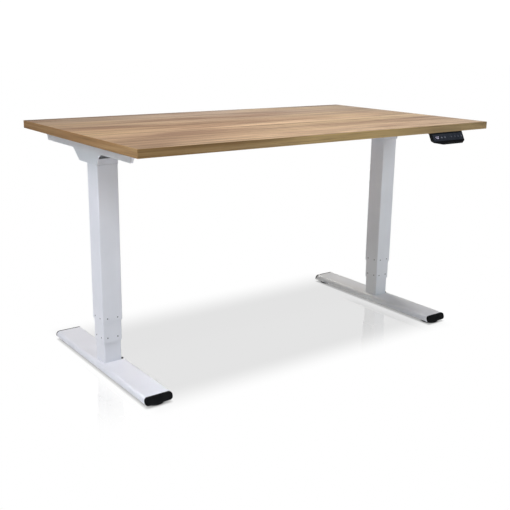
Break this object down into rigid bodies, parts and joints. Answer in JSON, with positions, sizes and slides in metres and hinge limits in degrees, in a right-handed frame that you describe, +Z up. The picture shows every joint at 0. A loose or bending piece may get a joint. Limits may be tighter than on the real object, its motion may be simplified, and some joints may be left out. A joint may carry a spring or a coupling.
{
  "type": "height adjustable standing desk",
  "caption": "Electric sit-stand desk: oak-laminate rectangular top on two three-stage square steel lifting columns with flat oval feet, levelling glides and a keypad handset.",
  "frame": {"origin": "on the floor, at the middle of the whole desk's footprint", "axes": "+X to the user's right along the top's length, -Y towards the user, +Z up"},
  "size_m": [1.4, 0.831, 0.77],
  "materials": {
    "oak_laminate": "matt melamine with a straight oak grain along the length",
    "chipboard": "raw pressed chips",
    "backing_sheet": "plain matt balance sheet",
    "oak_edge_band": "satin ABS band with an oak grain",
    "white_powder_coat": "fine satin white powder coat",
    "zinc_steel": "bright zinc plate",
    "black_steel": "black zinc plate",
    "plain_steel": "turned steel, lightly greased",
    "acetal": "natural acetal",
    "bush_plastic": "black acetal",
    "black_plastic": "fine-grained black polypropylene",
    "cast_aluminium": "shot-blasted casting",
    "motor_steel": "zinc-plated can",
    "case_plastic": "grained black plastic",
    "plate_steel": "black powder coat",
    "circuit_board": "green solder mask",
    "handset_plastic": "satin black plastic",
    "panel_film": "satin dark film",
    "display_glass": "grey-violet display film",
    "key_plastic": "satin dark grey plastic with pale marks"
  },
  "bodies": {
    "base": {"left_foot": "white_powder_coat", "right_foot": "white_powder_coat", "foot_caps": "black_plastic", "left_inner_tube": "white_powder_coat", "right_inner_tube": "white_powder_coat", "inner_bushes": "bush_plastic", "inner_nuts": "acetal", "column_base_plates": "plain_steel", "base_screws": "black_steel", "glide_inserts": "zinc_steel"},
    "top": {"desktop_core": "chipboard", "desktop_laminate": "oak_laminate", "desktop_backing": "backing_sheet", "edge_band_front": "oak_edge_band", "edge_band_rear": "oak_edge_band", "edge_band_left": "oak_edge_band", "edge_band_right": "oak_edge_band", "desktop_screws": "zinc_steel", "left_side_bracket": "white_powder_coat", "right_side_bracket": "white_powder_coat", "left_outer_tube": "white_powder_coat", "right_outer_tube": "white_powder_coat", "outer_bushes": "bush_plastic", "column_top_plates": "plain_steel", "left_gearbox": "cast_aluminium", "right_gearbox": "cast_aluminium", "left_motor": "motor_steel", "right_motor": "motor_steel", "head_screws": "zinc_steel", "left_beam_arm": "white_powder_coat", "right_beam_arm": "white_powder_coat", "beam_sleeve": "white_powder_coat", "beam_screws": "zinc_steel", "control_plate": "plate_steel", "control_case": "case_plastic", "control_board": "circuit_board", "handset_housing": "handset_plastic", "handset_panel": "panel_film", "display_window": "display_glass", "handset_board": "circuit_board"},
    "left_middle_stage": {"left_middle_tube": "white_powder_coat", "left_middle_bushes": "bush_plastic", "left_middle_nut": "acetal"},
    "left_drive": {"left_drive_screw": "plain_steel"},
    "left_hollow_screw": {"left_spindle": "plain_steel"},
    "right_middle_stage": {"right_middle_tube": "white_powder_coat", "right_middle_bushes": "bush_plastic", "right_middle_nut": "acetal"},
    "right_drive": {"right_drive_screw": "plain_steel"},
    "right_hollow_screw": {"right_spindle": "plain_steel"},
    "left_front_glide_body": {"left_front_glide": "black_plastic"},
    "left_rear_glide_body": {"left_rear_glide": "black_plastic"},
    "right_front_glide_body": {"right_front_glide": "black_plastic"},
    "right_rear_glide_body": {"right_rear_glide": "black_plastic"},
    "up_key_body": {"up_key": "key_plastic"},
    "down_key_body": {"down_key": "key_plastic"},
    "memory_key_one_body": {"memory_key_one": "key_plastic"},
    "memory_key_two_body": {"memory_key_two": "key_plastic"},
    "memory_key_three_body": {"memory_key_three": "key_plastic"},
    "store_key_body": {"store_key": "key_plastic"}
  },
  "joints": [
    {"name": "desk_lift", "type": "slide", "parent": "base", "child": "top", "axis": [0, 0, 1], "range_m": [-0.13, 0.52]},
    {"name": "left_stage_slide", "type": "slide", "parent": "base", "child": "left_middle_stage", "axis": [0, 0, 1], "range_m": [-0.0655, 0.2605]},
    {"name": "left_drive_turn", "type": "hinge", "parent": "top", "child": "left_drive", "pos_m": [-0.604, 0.0255, 0.4], "axis": [0, 0, 1], "range_deg": [-2940, 11720]},
    {"name": "left_hollow_screw_turn", "type": "hinge", "parent": "left_middle_stage", "child": "left_hollow_screw", "pos_m": [-0.604, 0.0255, 0.4], "axis": [0, 0, 1], "range_deg": [-2940, 11720]},
    {"name": "right_stage_slide", "type": "slide", "parent": "base", "child": "right_middle_stage", "axis": [0, 0, 1], "range_m": [-0.0655, 0.2605]},
    {"name": "right_drive_turn", "type": "hinge", "parent": "top", "child": "right_drive", "pos_m": [0.604, 0.0255, 0.4], "axis": [0, 0, 1], "range_deg": [-2940, 11720]},
    {"name": "right_hollow_screw_turn", "type": "hinge", "parent": "right_middle_stage", "child": "right_hollow_screw", "pos_m": [0.604, 0.0255, 0.4], "axis": [0, 0, 1], "range_deg": [-2940, 11720]},
    {"name": "left_front_glide_screw", "type": "slide", "parent": "base", "child": "left_front_glide_body", "axis": [0, 0, -1], "range_m": [0, 0.01]},
    {"name": "left_rear_glide_screw", "type": "slide", "parent": "base", "child": "left_rear_glide_body", "axis": [0, 0, -1], "range_m": [0, 0.01]},
    {"name": "right_front_glide_screw", "type": "slide", "parent": "base", "child": "right_front_glide_body", "axis": [0, 0, -1], "range_m": [0, 0.01]},
    {"name": "right_rear_glide_screw", "type": "slide", "parent": "base", "child": "right_rear_glide_body", "axis": [0, 0, -1], "range_m": [0, 0.01]},
    {"name": "up_key_press", "type": "slide", "parent": "top", "child": "up_key_body", "axis": [0, 0.891, -0.454], "range_m": [0, 0.0008], "stiffness_N_per_m": 1200, "springref_m": -0.0003},
    {"name": "down_key_press", "type": "slide", "parent": "top", "child": "down_key_body", "axis": [0, 0.891, -0.454], "range_m": [0, 0.0008], "stiffness_N_per_m": 1200, "springref_m": -0.0003},
    {"name": "memory_key_one_press", "type": "slide", "parent": "top", "child": "memory_key_one_body", "axis": [0, 0.891, -0.454], "range_m": [0, 0.0008], "stiffness_N_per_m": 1200, "springref_m": -0.0003},
    {"name": "memory_key_two_press", "type": "slide", "parent": "top", "child": "memory_key_two_body", "axis": [0, 0.891, -0.454], "range_m": [0, 0.0008], "stiffness_N_per_m": 1200, "springref_m": -0.0003},
    {"name": "memory_key_three_press", "type": "slide", "parent": "top", "child": "memory_key_three_body", "axis": [0, 0.891, -0.454], "range_m": [0, 0.0008], "stiffness_N_per_m": 1200, "springref_m": -0.0003},
    {"name": "store_key_press", "type": "slide", "parent": "top", "child": "store_key_body", "axis": [0, 0.891, -0.454], "range_m": [0, 0.0008], "stiffness_N_per_m": 1200, "springref_m": -0.0003}
  ],
  "couplings": [
    {"joint": "left_stage_slide", "follows": "desk_lift", "ratio": 0.5},
    {"joint": "left_drive_turn", "follows": "desk_lift", "rad_per_m": 392.7},
    {"joint": "left_hollow_screw_turn", "follows": "desk_lift", "rad_per_m": 392.7},
    {"joint": "right_stage_slide", "follows": "desk_lift", "ratio": 0.5},
    {"joint": "right_drive_turn", "follows": "desk_lift", "rad_per_m": 392.7},
    {"joint": "right_hollow_screw_turn", "follows": "desk_lift", "rad_per_m": 392.7}
  ]
}
